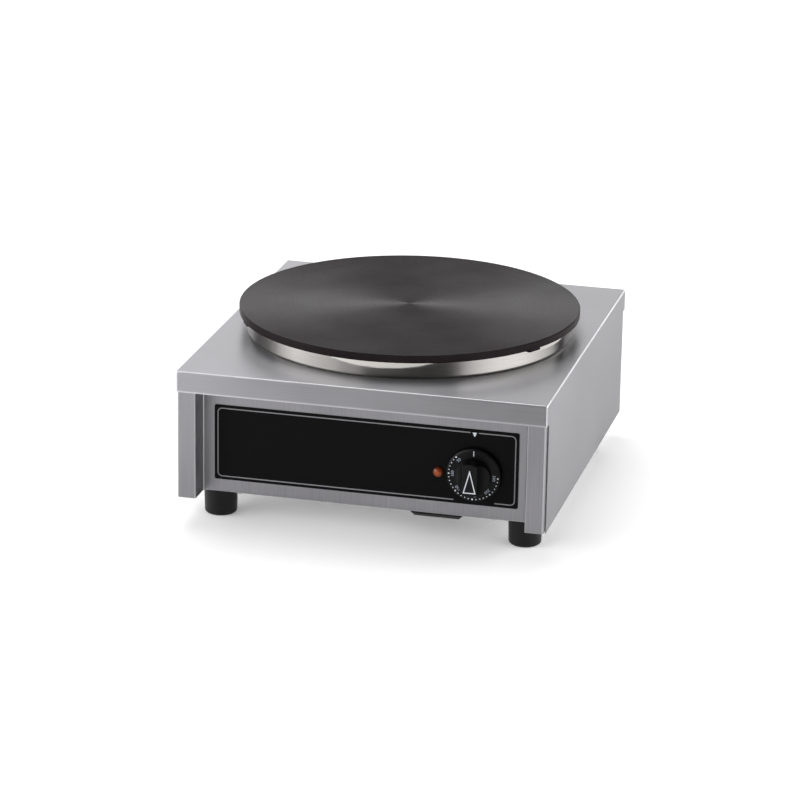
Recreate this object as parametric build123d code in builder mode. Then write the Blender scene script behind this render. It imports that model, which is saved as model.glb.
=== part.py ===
"""Electric crepe maker: a round cast-iron griddle on a folded stainless housing.

Millimetres. Z is up and the front looks along -Y. The origin lies on the table, under the middle
of the housing. Each piece is its own solid, or group of like solids, and its own STEP file.
"""
from build123d import *
import math
import os

# ----------------------------------------------------------------------------------------------
# Driving dimensions
# ----------------------------------------------------------------------------------------------

# Housing, folded from one thickness of stainless sheet
side_margin = 15.0           # from the griddle's rim to a side of the housing
end_margin = 31.0            # from the griddle's rim to the front or the rear lip
hood_top = 188.0             # height of the top sheet above the table
skin_bottom = 34.0           # lower edge of the two side skins
panel_bottom = 36.0          # lower edge of the front and rear panels
lip_height = 25.0            # front and rear lips, folded down from the top
skin_setback = 11.0          # from the face of a lip to the upright edge of a side skin
sheet = 1.0
fold_radius = 1.5            # inside radius of a fold
hood_edge_radius = 1.8       # outside radius round the top
hood_corner_radius = 2.2
post_width = 22.0            # from the outside of the housing to the recess
recess_depth = 31.0          # from the face of a lip to the face of a panel
flange_width = 12.0          # lower edge of a panel, folded back to take the base
stiffener_width = 9.0        # upper edge of a panel, folded back
post_flange = 20.0           # folded back inside a side skin
seam_gap = 0.3               # between sheets that are folded apart and fitted together

# Griddle
griddle_diameter = 400.0
griddle_rim = 9.0            # thickness at the rim
griddle_body = 12.0          # thickness inside the belt
griddle_edge = 1.2           # rounding of the rim
griddle_slip = 1.8           # between the raised body and the belt
lug_width = 20.0
lug_height = 2.6
lug_depth = 7.0
lug_angles = (-30.0, 90.0, 210.0)

# Belt between the hood and the griddle
belt_inset = 8.5             # from the griddle's rim
belt_height = 21.6           # above the hood
belt_sheet = 1.2
belt_fold = 2.4              # inside radius where the belt turns in
belt_flange = 19.5           # width of the part that lies on the hood
belt_gap = 0.4               # under the rim

# Pillars that carry the griddle
pillar_inset = 10.0          # from the belt's face to a pillar's axis
pillar_flats = 11.0
bolt_diameter = 6.0
bolt_clearance = 0.2         # radial, in through holes
bolt_head_radius = 5.0
bolt_head_height = 4.0
thread_depth = 6.0           # of a bolt or stud in the iron

# Heating loops
loop_margin = 10.0           # from the heat shield to the outer loop's axis
loop_pitch = 48.0
loop_names = ("heating_element_inner", "heating_element_middle", "heating_element_outer")
sheath_diameter = 8.0
loop_bend = 12.0
lead_spacing = 18.0          # between the two ends of a loop
lead_length = 34.0           # straight end below the bend
lead_pin_radius = 2.0
lead_pin_length = 9.0

# Clamp that presses the loops on the griddle
clamp_bar_width = 22.0
clamp_bar_thick = 3.0
clamp_bar_overhang = 12.0    # of a bar past the inner and outer loops
clamp_angles = (0.0, 120.0, 240.0)
nut_flats = 10.0
nut_height = 5.0
stud_overhang = 1.5          # of a thread past its nut

# Heat shield and insulation
shield_sheet = 1.0
shield_slip = 2.0            # round the pan, in the hood's opening
shield_rim_gap = 0.65        # from its rim to a pillar
insulation_thick = 12.0
insulation_drop = 0.5        # under the lowest thread
insulation_slip = 1.0
lead_window = (34.0, 16.0)   # window in the shield for the two ends of a loop

# Control fascia
fascia_margin = 15.0         # from the side of the recess
fascia_height = 90.0
fascia_thick = 0.8
fascia_bottom = 52.0
fascia_corner = 2.0

# Thermostat, its dial and its feeler
dial_inset = 50.5            # from the end of the fascia
dial_z = 89.5
dial_radius = 31.0
dial_thick = 4.0
dial_gap = 3.2               # between the fascia and the dial
hub_radius = 20.0
grip_height = 19.0           # in front of the dial
grip_width = 17.0
grip_scoop = 22.0            # radius of the hollow on each side of the grip
grip_scoop_rise = 4.5        # its centre stands this far in front of the grip
grip_edge = 1.2
spindle_diameter = 6.0
spindle_flat = 1.5           # depth of the flat that turns the dial
spindle_in_dial = 15.0
spindle_in_body = 8.0
running_clearance = 0.05     # radial, in the thermostat's bearing
dial_bore_clearance = 0.02
control_hole = 10.0
control_plate = (48.0, 36.0, 1.5)
control_box = (42.0, 32.0, 26.0)
control_screw_spread = 28.0
control_screw = 4.0
control_screw_head = (3.6, 2.0)   # radius and height
blade = (6.3, 0.8, 8.0)      # push-on terminal
feeler_diameter = 6.0
feeler_length = 80.0
capillary_diameter = 2.0
capillary_bend = 14.0

# Heating lamp
lamp_spread = 42.0           # from the dial's axis
lamp_z = 87.5
lamp_radius = 6.2
lamp_rim = 1.0
lamp_rise = 5.2
lamp_body_diameter = 9.6
lamp_body_length = 26.0
lamp_nut_flats = 14.0
lamp_nut_thick = 4.0

# Base
base_sheet = 1.2
base_flange = 15.0
base_vent = (50.0, 5.0)
base_vent_pitch = 12.0
base_vent_rows = 8
base_vent_x = 105.0
base_vent_y = 55.0
base_screw = 4.0
base_screw_head = (3.8, 1.8)
base_screw_x = (-150.0, -50.0, 30.0, 150.0)

# Feet
foot_inset_x = 34.5
foot_inset_y = 63.5
foot_top_radius = 19.6
foot_bottom_radius = 18.8
foot_edge = 4.0
foot_stud_diameter = 8.0
foot_stud_above = 24.0       # threaded length above the base
foot_stud_inside = 18.0
foot_thread_clearance = 0.08
foot_nut_flats = 13.0
foot_nut_height = 6.5

# Safety cut-out under the controls, and its cover
cutout_inset = 113.5         # from the side of the recess
cutout_radius = 12.0
cutout_height = 26.0
cutout_ear = (40.0, 12.0, 1.5)
cutout_feeler_length = 60.0
button_radius = 3.5
button_collar = (4.6, 2.0)   # radius and height
button_travel = 1.5
button_sink = 6.0            # depth of the body under the collar
button_proud = 2.0           # below the cover
cover_width = 61.0
cover_length = 64.0
cover_inset = 16.0           # from the panel's face
cover_drop = 12.5
cover_wall = 2.0
cover_corner = 5.0
cover_chamfer = 4.0
cover_ear = 9.0

# Supply connection
block_inset = 50.0           # from the rear panel's face
block_size = (52.0, 26.0, 20.0)
block_poles = 3
block_pole_pitch = 15.0
gland_inset = 73.0           # from the side of the recess
gland_z = 66.0
gland_thread_radius = 10.0
gland_bore_radius = 5.5
gland_hex_flats = 27.0
gland_hex_thick = 6.0
gland_cap_radius = 12.5
gland_cap_length = 15.0
gland_nut_flats = 25.0
gland_nut_thick = 4.5
gland_thread_inside = 9.0

# Bonding terminal
bond_inset = 25.0            # from the side of the recess
bond_z = 62.0
bond_diameter = 6.0
bond_outside = 20.0
bond_inside = 9.0
bond_relief = 0.5            # width and depth of the groove

# Rear panel cooling slots
rear_slot = (5.0, 34.0)
rear_slot_pitch = 12.0
rear_slot_count = 11
rear_slot_rows = (84.0, 128.0)
rear_slot_x = -60.0

# ----------------------------------------------------------------------------------------------
# Places worked out from the driving dimensions
# ----------------------------------------------------------------------------------------------

griddle_radius = griddle_diameter / 2
half_width = griddle_radius + side_margin
half_depth = griddle_radius + end_margin
body_width = 2 * half_width
body_depth = 2 * half_depth
hood_under = hood_top - sheet
panel_face = half_depth - recess_depth
panel_back = panel_face - sheet
panel_top = hood_under - seam_gap
post_face = half_depth - sheet - seam_gap
skin_inside = half_width - sheet
recess_half = half_width - post_width
base_under = panel_bottom + sheet
base_top = base_under + base_sheet
base_half_y = panel_back - fold_radius - seam_gap
base_half_x = skin_inside - seam_gap

belt_radius = griddle_radius - belt_inset
rim_under = hood_top + belt_height + belt_gap
griddle_height = rim_under + griddle_rim
griddle_under = griddle_height - griddle_body
belt_inside = belt_radius - belt_sheet
belt_floor = hood_top + belt_sheet
belt_inner_edge = belt_radius - belt_flange
hood_opening = belt_inner_edge - 2 * sheet
pillar_radius = belt_radius - pillar_inset
shield_radius = hood_opening - shield_slip
shield_rim = pillar_radius - pillar_flats / math.sqrt(3) - shield_rim_gap

outer_loop = shield_radius - loop_margin
loop_radii = (outer_loop - 2 * loop_pitch, outer_loop - loop_pitch, outer_loop)
sheath_radius = sheath_diameter / 2
loop_axis = griddle_under - sheath_radius
clamp_top = griddle_under - sheath_diameter
clamp_under = clamp_top - clamp_bar_thick
clamp_stud_end = clamp_under - nut_height - stud_overhang
# Studs and feelers stand midway between two loops.
inner_lane = outer_loop - 3 * loop_pitch / 2
outer_lane = outer_loop - loop_pitch / 2

shield_inside_floor = clamp_stud_end - insulation_drop - insulation_thick
shield_floor = shield_inside_floor - shield_sheet

fascia_width = 2 * (recess_half - fascia_margin)
fascia_face = panel_face + fascia_thick
dial_back = fascia_face + dial_gap
dial_front = dial_back + dial_thick
dial_x = fascia_width / 2 - dial_inset
lamp_x = dial_x - lamp_spread
cutout_x = recess_half - cutout_inset
cutout_y = cover_inset + cover_length / 2 - panel_face
cover_bottom = base_under - cover_drop
block_y = panel_face - block_inset
gland_x = recess_half - gland_inset
bond_x = recess_half - bond_inset

control_screws = [(dial_x + side * control_screw_spread / 2, dial_z) for side in (-1, 1)]
foot_places = {
    "front_left": (-(half_width - foot_inset_x), -(half_depth - foot_inset_y)),
    "front_right": (half_width - foot_inset_x, -(half_depth - foot_inset_y)),
    "rear_left": (-(half_width - foot_inset_x), half_depth - foot_inset_y),
    "rear_right": (half_width - foot_inset_x, half_depth - foot_inset_y),
}
base_screw_y = panel_face - flange_width / 2 - sheet / 2
base_screw_places = [(x, side * base_screw_y) for x in base_screw_x for side in (-1, 1)]
cover_screw_places = [(cutout_x + side * (cover_width + cover_ear) / 2, cutout_y) for side in (-1, 1)]
pillar_places = [
    (pillar_radius * math.cos(math.radians(a)), pillar_radius * math.sin(math.radians(a)))
    for a in lug_angles
]
clamp_stud_places = [
    (r * math.cos(math.radians(a)), r * math.sin(math.radians(a)))
    for a in clamp_angles
    for r in (inner_lane, outer_lane)
]


def front_plane(x, z, depth=0.0):
    """A plane on the front panel's face: X to the right, Y up, Z out of the panel."""
    return Plane(origin=(x, depth - panel_face, z), x_dir=(1, 0, 0), z_dir=(0, -1, 0))


def rear_plane(x, z, depth=0.0):
    """The same on the rear panel, as someone behind the machine sees it."""
    return Plane(origin=(x, panel_face - depth, z), x_dir=(-1, 0, 0), z_dir=(0, 1, 0))


def save(piece, name):
    piece.part.label = name
    export_step(piece.part, f"parts/{name}.step")


os.makedirs("parts", exist_ok=True)

# ----------------------------------------------------------------------------------------------
# Hood: the top sheet with both side skins and both lips
# ----------------------------------------------------------------------------------------------

with BuildPart() as top_cover:
    with BuildSketch(Plane.XY.offset(skin_bottom)):
        RectangleRounded(body_width, body_depth, hood_corner_radius)
    extrude(amount=hood_top - skin_bottom)
    fillet(top_cover.faces().sort_by(Axis.Z)[-1].edges(), hood_edge_radius)
    offset(amount=-sheet, openings=top_cover.faces().sort_by(Axis.Z)[0])
    # The front and the back are open below the lips, and the side skins are set back there.
    with BuildSketch(Plane.XY.offset(skin_bottom)):
        with Locations((0, -half_depth), (0, half_depth)):
            Rectangle(body_width + sheet, 2 * skin_setback)
    extrude(amount=hood_top - lip_height - skin_bottom, mode=Mode.SUBTRACT)
    # Round opening under the griddle, and holes for the pillar bolts.
    with BuildSketch(Plane.XY.offset(hood_top)):
        Circle(hood_opening)
        with Locations(*pillar_places):
            Circle(bolt_diameter / 2 + bolt_clearance)
    extrude(amount=-2 * sheet, mode=Mode.SUBTRACT)
save(top_cover, "top_cover")

# ----------------------------------------------------------------------------------------------
# Front and rear panels: each one sheet, folded to two posts and a recessed panel
# ----------------------------------------------------------------------------------------------


def folded_panel(side):
    """The hat section of the front (side -1) or rear (side 1) panel, with its two flanges."""
    middle = sheet / 2
    flange_x = skin_inside - seam_gap - middle
    post_y = side * (post_face - middle)
    wall_x = recess_half - middle
    face_y = side * (panel_face - middle)
    flange_y = side * (post_face - post_flange)
    flange_length = 2 * (recess_half - fold_radius - 2 * sheet)
    relief = fold_radius + 2 * sheet
    with BuildPart() as panel:
        with BuildSketch(Plane.XY.offset(panel_bottom)):
            with BuildLine():
                FilletPolyline(
                    (-flange_x, flange_y),
                    (-flange_x, post_y),
                    (-wall_x, post_y),
                    (-wall_x, face_y),
                    (wall_x, face_y),
                    (wall_x, post_y),
                    (flange_x, post_y),
                    (flange_x, flange_y),
                    radius=fold_radius + middle,
                )
            trace(line_width=sheet)
        extrude(amount=panel_top - panel_bottom)
        # The top and bottom edges fold back, between relief notches beside the posts.
        for edge, turn, width in ((panel_bottom, 1, flange_width), (panel_top, -1, stiffener_width)):
            with BuildSketch(Plane.XY.offset(edge)):
                with Locations((0, face_y)):
                    Rectangle(flange_length, 2 * sheet)
            extrude(amount=turn * relief, mode=Mode.SUBTRACT)
            with BuildSketch(Plane.YZ.offset(-flange_length / 2)):
                with BuildLine():
                    FilletPolyline(
                        (face_y, edge + turn * relief),
                        (face_y, edge + turn * middle),
                        (side * (panel_face - width), edge + turn * middle),
                        radius=fold_radius + middle,
                    )
                trace(line_width=sheet)
            extrude(amount=flange_length)
    return panel.part


front_sheet = folded_panel(-1)
with BuildPart() as front_panel:
    add(front_sheet)
    with BuildSketch(front_plane(0, 0)):
        with Locations((dial_x, dial_z)):
            Circle(control_hole / 2)
        with Locations((lamp_x, lamp_z)):
            Circle(lamp_body_diameter / 2 + bolt_clearance)
        with Locations(*control_screws):
            Circle(control_screw / 2 + bolt_clearance)
    extrude(amount=-2 * sheet, mode=Mode.SUBTRACT)
    with Locations(*[(x, y, panel_bottom) for x, y in base_screw_places if y < 0]):
        Cylinder(base_screw / 2 + bolt_clearance, 2 * sheet, mode=Mode.SUBTRACT)
save(front_panel, "front_panel")

rear_sheet = folded_panel(1)
with BuildPart() as rear_panel:
    add(rear_sheet)
    with BuildSketch(rear_plane(0, 0)):
        with Locations((-gland_x, gland_z)):
            Circle(gland_thread_radius + bolt_clearance)
        with Locations((-bond_x, bond_z)):
            Circle(bond_diameter / 2 + bolt_clearance)
        for row in rear_slot_rows:
            with Locations((-rear_slot_x, row)):
                with GridLocations(rear_slot_pitch, 1, rear_slot_count, 1):
                    SlotOverall(rear_slot[1], rear_slot[0], rotation=90)
    extrude(amount=-2 * sheet, mode=Mode.SUBTRACT)
    with Locations(*[(x, y, panel_bottom) for x, y in base_screw_places if y > 0]):
        Cylinder(base_screw / 2 + bolt_clearance, 2 * sheet, mode=Mode.SUBTRACT)
save(rear_panel, "rear_panel")

# ----------------------------------------------------------------------------------------------
# Base plate, with edges folded up along the skins
# ----------------------------------------------------------------------------------------------

with BuildPart() as base_plate:
    middle = base_sheet / 2
    with BuildSketch(Plane.XZ.offset(-base_half_y)):
        with BuildLine():
            FilletPolyline(
                (-base_half_x + middle, base_under + base_flange),
                (-base_half_x + middle, base_under + middle),
                (base_half_x - middle, base_under + middle),
                (base_half_x - middle, base_under + base_flange),
                radius=fold_radius + middle,
            )
        trace(line_width=base_sheet)
    extrude(amount=2 * base_half_y)
    with BuildSketch(Plane.XY.offset(base_under)):
        with Locations(*foot_places.values()):
            Circle(foot_stud_diameter / 2 + bolt_clearance)
        with Locations(*base_screw_places):
            Circle(base_screw / 2 + bolt_clearance)
        with Locations(*cover_screw_places):
            Circle(base_screw / 2 + bolt_clearance)
        with Locations((cutout_x, cutout_y)):
            Circle(button_radius + 2 * bolt_clearance)
        for x in (-base_vent_x, base_vent_x):
            with Locations((x, base_vent_y)):
                with GridLocations(1, base_vent_pitch, 1, base_vent_rows):
                    SlotOverall(*base_vent)
    extrude(amount=base_sheet, mode=Mode.SUBTRACT)
save(base_plate, "base_plate")

with BuildPart() as base_screws:
    head_radius, head_height = base_screw_head
    for x, y in base_screw_places:
        with Locations((x, y, panel_bottom)):
            Cylinder(head_radius, head_height, align=(Align.CENTER, Align.CENTER, Align.MAX))
            Cylinder(
                base_screw / 2,
                sheet + base_sheet + base_screw,
                align=(Align.CENTER, Align.CENTER, Align.MIN),
            )
    lower_rims = base_screws.edges().filter_by(GeomType.CIRCLE).group_by(Axis.Z)[0]
    fillet(lower_rims, head_height / 2)
save(base_screws, "base_screws")

# ----------------------------------------------------------------------------------------------
# Griddle: cast iron, thicker inside the belt, with three small lugs outside it
# ----------------------------------------------------------------------------------------------

with BuildPart() as griddle_plate:
    body_radius = belt_inside - griddle_slip
    with BuildSketch(Plane.XZ):
        with BuildLine():
            Polyline(
                (0, griddle_height),
                (griddle_radius, griddle_height),
                (griddle_radius, rim_under),
                (body_radius, rim_under),
                (body_radius, griddle_under),
                (0, griddle_under),
                close=True,
            )
        make_face()
    revolve(axis=Axis.Z)
    rim_edges = griddle_plate.edges().filter_by(GeomType.CIRCLE).sort_by(SortBy.RADIUS)[-2:]
    fillet(rim_edges, griddle_edge)
    lug_inside = belt_radius + seam_gap
    for angle in lug_angles:
        with BuildSketch(Plane.XY.offset(rim_under - lug_height)):
            with Locations(Rotation(0, 0, angle) * Location((lug_inside + lug_depth / 2, 0))):
                RectangleRounded(lug_depth, lug_width, lug_height)
        extrude(amount=lug_height)
    with Locations(*[(x, y, griddle_under) for x, y in pillar_places + clamp_stud_places]):
        Cylinder(
            bolt_diameter / 2,
            thread_depth,
            align=(Align.CENTER, Align.CENTER, Align.MIN),
            mode=Mode.SUBTRACT,
        )
save(griddle_plate, "griddle_plate")

# The belt: a polished band that turns in at the bottom and lies on the hood.
with BuildPart() as plate_belt:
    middle = belt_sheet / 2
    with BuildSketch(Plane.XZ):
        with BuildLine():
            FilletPolyline(
                (belt_radius - middle, rim_under - belt_gap),
                (belt_radius - middle, hood_top + middle),
                (belt_inner_edge, hood_top + middle),
                radius=belt_fold + middle,
            )
        trace(line_width=belt_sheet)
    revolve(axis=Axis.Z)
    with Locations(*[(x, y, hood_top + middle) for x, y in pillar_places]):
        Cylinder(bolt_diameter / 2 + bolt_clearance, 2 * belt_sheet, mode=Mode.SUBTRACT)
save(plate_belt, "plate_belt")

# Three hexagon pillars stand on the belt's flange and carry the griddle.
with BuildPart() as support_pillars:
    with BuildSketch(Plane.XY.offset(belt_floor)):
        for (x, y), angle in zip(pillar_places, lug_angles):
            with Locations(Location((x, y), angle)):
                RegularPolygon(pillar_flats / 2, 6, major_radius=False)
                Circle(bolt_diameter / 2 + bolt_clearance, mode=Mode.SUBTRACT)
    extrude(amount=griddle_under - belt_floor)
save(support_pillars, "support_pillars")

with BuildPart() as pillar_bolts:
    with BuildSketch(Plane.XY.offset(hood_under)):
        for (x, y), angle in zip(pillar_places, lug_angles):
            with Locations(Location((x, y), angle)):
                RegularPolygon(bolt_head_radius, 6, major_radius=False)
    extrude(amount=-bolt_head_height)
    with Locations(*[(x, y, hood_under) for x, y in pillar_places]):
        Cylinder(
            bolt_diameter / 2,
            griddle_under + thread_depth - hood_under,
            align=(Align.CENTER, Align.CENTER, Align.MIN),
        )
save(pillar_bolts, "pillar_bolts")

# ----------------------------------------------------------------------------------------------
# Heating loops: sheathed rods in three open rings, with both ends turned down at the back
# ----------------------------------------------------------------------------------------------


def heating_loop(radius):
    """One open ring pressed on the iron. Its ends bend down and end in terminal pins."""
    half_gap = lead_spacing / 2 + loop_bend
    gap_angle = math.degrees(math.asin(half_gap / radius))
    down = Vector(0, 0, -1)
    with BuildPart() as loop:
        with BuildLine() as run:
            ring = CenterArc((0, 0, loop_axis), radius, 90 + gap_angle, 360 - 2 * gap_angle)
            first_way = -(ring % 0)
            last_way = ring % 1
            first_turn = (ring @ 0) + (first_way + down) * loop_bend
            last_turn = (ring @ 1) + (last_way + down) * loop_bend
            TangentArc(ring @ 0, first_turn, tangent=first_way)
            TangentArc(ring @ 1, last_turn, tangent=last_way)
            Line(first_turn, first_turn + down * lead_length)
            Line(last_turn, last_turn + down * lead_length)
        rod = run.wires()[0]
        with BuildSketch(Plane(origin=rod @ 0, z_dir=rod % 0)):
            Circle(sheath_radius)
        sweep(path=rod)
        ends = (first_turn + down * lead_length, last_turn + down * lead_length)
        with Locations(*ends):
            Cylinder(lead_pin_radius, lead_pin_length, align=(Align.CENTER, Align.CENTER, Align.MAX))
    return loop, (ends[0].Y + ends[1].Y) / 2


lead_rows = []
for loop_radius, loop_name in zip(loop_radii, loop_names):
    heating_element, lead_row = heating_loop(loop_radius)
    lead_rows.append(lead_row)
    save(heating_element, loop_name)

# Three flat bars hold the loops, each on two studs with nuts.
with BuildPart() as clamp_bars:
    bar_inside = loop_radii[0] - clamp_bar_overhang
    bar_outside = loop_radii[-1] + clamp_bar_overhang
    for angle in clamp_angles:
        with BuildSketch(Plane.XY.offset(clamp_under)):
            with Locations(Rotation(0, 0, angle) * Location(((bar_inside + bar_outside) / 2, 0))):
                RectangleRounded(bar_outside - bar_inside, clamp_bar_width, clamp_bar_thick)
            with Locations(*clamp_stud_places):
                Circle(bolt_diameter / 2 + bolt_clearance, mode=Mode.SUBTRACT)
        extrude(amount=clamp_bar_thick)
save(clamp_bars, "clamp_bars")

with BuildPart() as clamp_studs:
    with Locations(*[(x, y, griddle_under + thread_depth) for x, y in clamp_stud_places]):
        Cylinder(
            bolt_diameter / 2,
            griddle_under + thread_depth - clamp_stud_end,
            align=(Align.CENTER, Align.CENTER, Align.MAX),
        )
save(clamp_studs, "clamp_studs")

with BuildPart() as clamp_nuts:
    with BuildSketch(Plane.XY.offset(clamp_under)):
        with Locations(*clamp_stud_places):
            RegularPolygon(nut_flats / 2, 6, major_radius=False)
            Circle(bolt_diameter / 2, mode=Mode.SUBTRACT)
    extrude(amount=-nut_height)
save(clamp_nuts, "clamp_nuts")

# ----------------------------------------------------------------------------------------------
# Heat shield: a round pan that hangs on the belt's flange, with a blanket of ceramic fibre
# ----------------------------------------------------------------------------------------------

window_places = [(0, row) for row in lead_rows]
capillary_hole = capillary_diameter / 2 + insulation_slip
capillary_run = 2 * capillary_bend - 2 * capillary_diameter
feeler_exit = (feeler_length / 2 + capillary_run, -outer_lane)
cutout_exit = (cutout_feeler_length / 2 + capillary_run, -inner_lane)

with BuildPart() as heat_shield:
    middle = shield_sheet / 2
    with BuildSketch(Plane.XZ):
        with BuildLine():
            FilletPolyline(
                (0, shield_floor + middle),
                (shield_radius - middle, shield_floor + middle),
                (shield_radius - middle, belt_floor + middle),
                (shield_rim, belt_floor + middle),
                radius=fold_radius + middle,
            )
        trace(line_width=shield_sheet)
        # The traced end at the axis is squared off there.
        with Locations((-shield_sheet, shield_floor + middle)):
            Rectangle(2 * shield_sheet, 4 * shield_sheet, mode=Mode.SUBTRACT)
    revolve(axis=Axis.Z)
    with BuildSketch(Plane.XY.offset(shield_floor)):
        with Locations(*window_places):
            SlotOverall(*lead_window)
        with Locations(feeler_exit, cutout_exit):
            Circle(capillary_hole)
    extrude(amount=2 * shield_sheet, mode=Mode.SUBTRACT)
save(heat_shield, "heat_shield")

with BuildPart() as insulation_blanket:
    with BuildSketch(Plane.XY.offset(shield_inside_floor)):
        Circle(shield_radius - shield_sheet - fold_radius)
        with Locations(*window_places):
            SlotOverall(*lead_window, mode=Mode.SUBTRACT)
        with Locations(feeler_exit, cutout_exit):
            Circle(capillary_hole, mode=Mode.SUBTRACT)
    extrude(amount=insulation_thick)
save(insulation_blanket, "insulation_blanket")

# ----------------------------------------------------------------------------------------------
# Control fascia and heating lamp
# ----------------------------------------------------------------------------------------------

with BuildPart() as control_fascia:
    with BuildSketch(front_plane(0, fascia_bottom + fascia_height / 2)):
        RectangleRounded(fascia_width, fascia_height, fascia_corner)
    extrude(amount=fascia_thick)
    with BuildSketch(front_plane(0, 0)):
        with Locations((dial_x, dial_z)):
            Circle(control_hole / 2)
        with Locations((lamp_x, lamp_z)):
            Circle(lamp_body_diameter / 2 + bolt_clearance)
        with Locations(*control_screws):
            Circle(control_screw / 2 + bolt_clearance)
    extrude(amount=fascia_thick, mode=Mode.SUBTRACT)
save(control_fascia, "control_fascia")

with BuildPart() as lamp_lens:
    with BuildSketch(Plane(origin=(lamp_x, -fascia_face, lamp_z), x_dir=(1, 0, 0), z_dir=(0, 0, 1))):
        with BuildLine():
            Polyline((0, -lamp_rise), (0, 0), (lamp_radius, 0), (lamp_radius, -lamp_rim))
            EllipticalCenterArc((0, -lamp_rim), lamp_radius, lamp_rise - lamp_rim, 270, arc_size=90)
        make_face()
    revolve(axis=Axis((lamp_x, -fascia_face, lamp_z), (0, -1, 0)))
save(lamp_lens, "lamp_lens")

with BuildPart() as lamp_body:
    with BuildSketch(front_plane(lamp_x, lamp_z, -fascia_thick)):
        Circle(lamp_body_diameter / 2)
    extrude(amount=-lamp_body_length)
    lamp_end = lamp_body_length - fascia_thick
    for side in (-1, 1):
        with BuildSketch(front_plane(lamp_x + side * lamp_body_diameter / 4, lamp_z, lamp_end)):
            Rectangle(blade[1], blade[0] / 2)
        extrude(amount=-blade[2])
save(lamp_body, "lamp_body")

with BuildPart() as lamp_nut:
    with BuildSketch(front_plane(lamp_x, lamp_z, sheet)):
        RegularPolygon(lamp_nut_flats / 2, 6, major_radius=False)
        Circle(lamp_body_diameter / 2, mode=Mode.SUBTRACT)
    extrude(amount=-lamp_nut_thick)
save(lamp_nut, "lamp_nut")

# ----------------------------------------------------------------------------------------------
# Thermostat: dial, spindle, body, two screws and the feeler under the griddle
# ----------------------------------------------------------------------------------------------

with BuildPart() as thermostat_knob:
    with BuildSketch(front_plane(dial_x, dial_z, panel_face - dial_back)):
        Circle(dial_radius)
    extrude(amount=dial_thick)
    front_rim = thermostat_knob.edges().filter_by(GeomType.CIRCLE).sort_by(Axis.Y)[0]
    chamfer(front_rim, dial_thick / 4, 2 * dial_thick / 4)
    with BuildSketch(front_plane(dial_x, dial_z, panel_face - dial_front)):
        Circle(hub_radius)
    extrude(amount=grip_height, taper=2)
    # A hollow on each side leaves the grip bar standing across the hub.
    scoop_x = grip_width / 2 + math.sqrt(grip_scoop**2 - grip_scoop_rise**2)
    scoop_y = -(dial_front + grip_height + grip_scoop_rise)
    with BuildSketch(Plane.XY.offset(dial_z - dial_radius)):
        with Locations((dial_x - scoop_x, scoop_y), (dial_x + scoop_x, scoop_y)):
            Circle(grip_scoop)
    extrude(amount=2 * dial_radius, mode=Mode.SUBTRACT)
    grip_face = thermostat_knob.faces().sort_by(Axis.Y)[0]
    fillet(grip_face.edges(), grip_edge)
    # The bore has a flat that takes the flat of the spindle.
    with BuildSketch(front_plane(dial_x, dial_z, panel_face - dial_back)):
        bore = spindle_diameter / 2 + dial_bore_clearance
        Circle(bore)
        with Locations((0, bore)):
            Rectangle(2 * bore, 2 * spindle_flat, mode=Mode.SUBTRACT)
    extrude(amount=spindle_in_dial + dial_gap / 4, mode=Mode.SUBTRACT)
save(thermostat_knob, "thermostat_knob")

body_start = sheet + control_plate[2]
with BuildPart() as thermostat_spindle:
    with BuildSketch(front_plane(dial_x, dial_z, body_start + spindle_in_body)):
        Circle(spindle_diameter / 2)
    extrude(amount=body_start + spindle_in_body + dial_back - panel_face + spindle_in_dial)
    with BuildSketch(front_plane(dial_x, dial_z, panel_face - dial_back)):
        with Locations((0, spindle_diameter / 2)):
            Rectangle(2 * spindle_diameter, 2 * spindle_flat)
    extrude(amount=spindle_in_dial, mode=Mode.SUBTRACT)
save(thermostat_spindle, "thermostat_spindle")

with BuildPart() as thermostat_body:
    plate_width, plate_height, plate_thick = control_plate
    box_width, box_height, box_depth = control_box
    with BuildSketch(front_plane(dial_x, dial_z, sheet)):
        RectangleRounded(plate_width, plate_height, plate_thick)
    extrude(amount=-plate_thick)
    with BuildSketch(front_plane(dial_x, dial_z, body_start)):
        RectangleRounded(box_width, box_height, 2 * plate_thick)
    extrude(amount=-box_depth)
    for x in (-box_width / 4, box_width / 4):
        for z in (-box_height / 4, box_height / 4):
            with BuildSketch(front_plane(dial_x + x, dial_z + z, body_start + box_depth)):
                Rectangle(blade[1], blade[0])
            extrude(amount=-blade[2])
    with BuildSketch(front_plane(dial_x, dial_z, sheet)):
        Circle(spindle_diameter / 2 + running_clearance)
    extrude(amount=-(plate_thick + spindle_in_body + running_clearance), mode=Mode.SUBTRACT)
    with BuildSketch(front_plane(0, 0, sheet)):
        with Locations(*control_screws):
            Circle(control_screw / 2)
    extrude(amount=-(plate_thick + control_screw), mode=Mode.SUBTRACT)
save(thermostat_body, "thermostat_body")

with BuildPart() as thermostat_screws:
    head_radius, head_height = control_screw_head
    for x, z in control_screws:
        with BuildSketch(front_plane(x, z, -fascia_thick)):
            Circle(head_radius)
        extrude(amount=head_height)
        with BuildSketch(front_plane(x, z, -fascia_thick)):
            Circle(control_screw / 2)
        extrude(amount=-(fascia_thick + body_start + control_screw / 2))
    head_rims = thermostat_screws.edges().filter_by(GeomType.CIRCLE).group_by(Axis.Y)[0]
    fillet(head_rims, head_height / 2)
save(thermostat_screws, "thermostat_screws")


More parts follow.
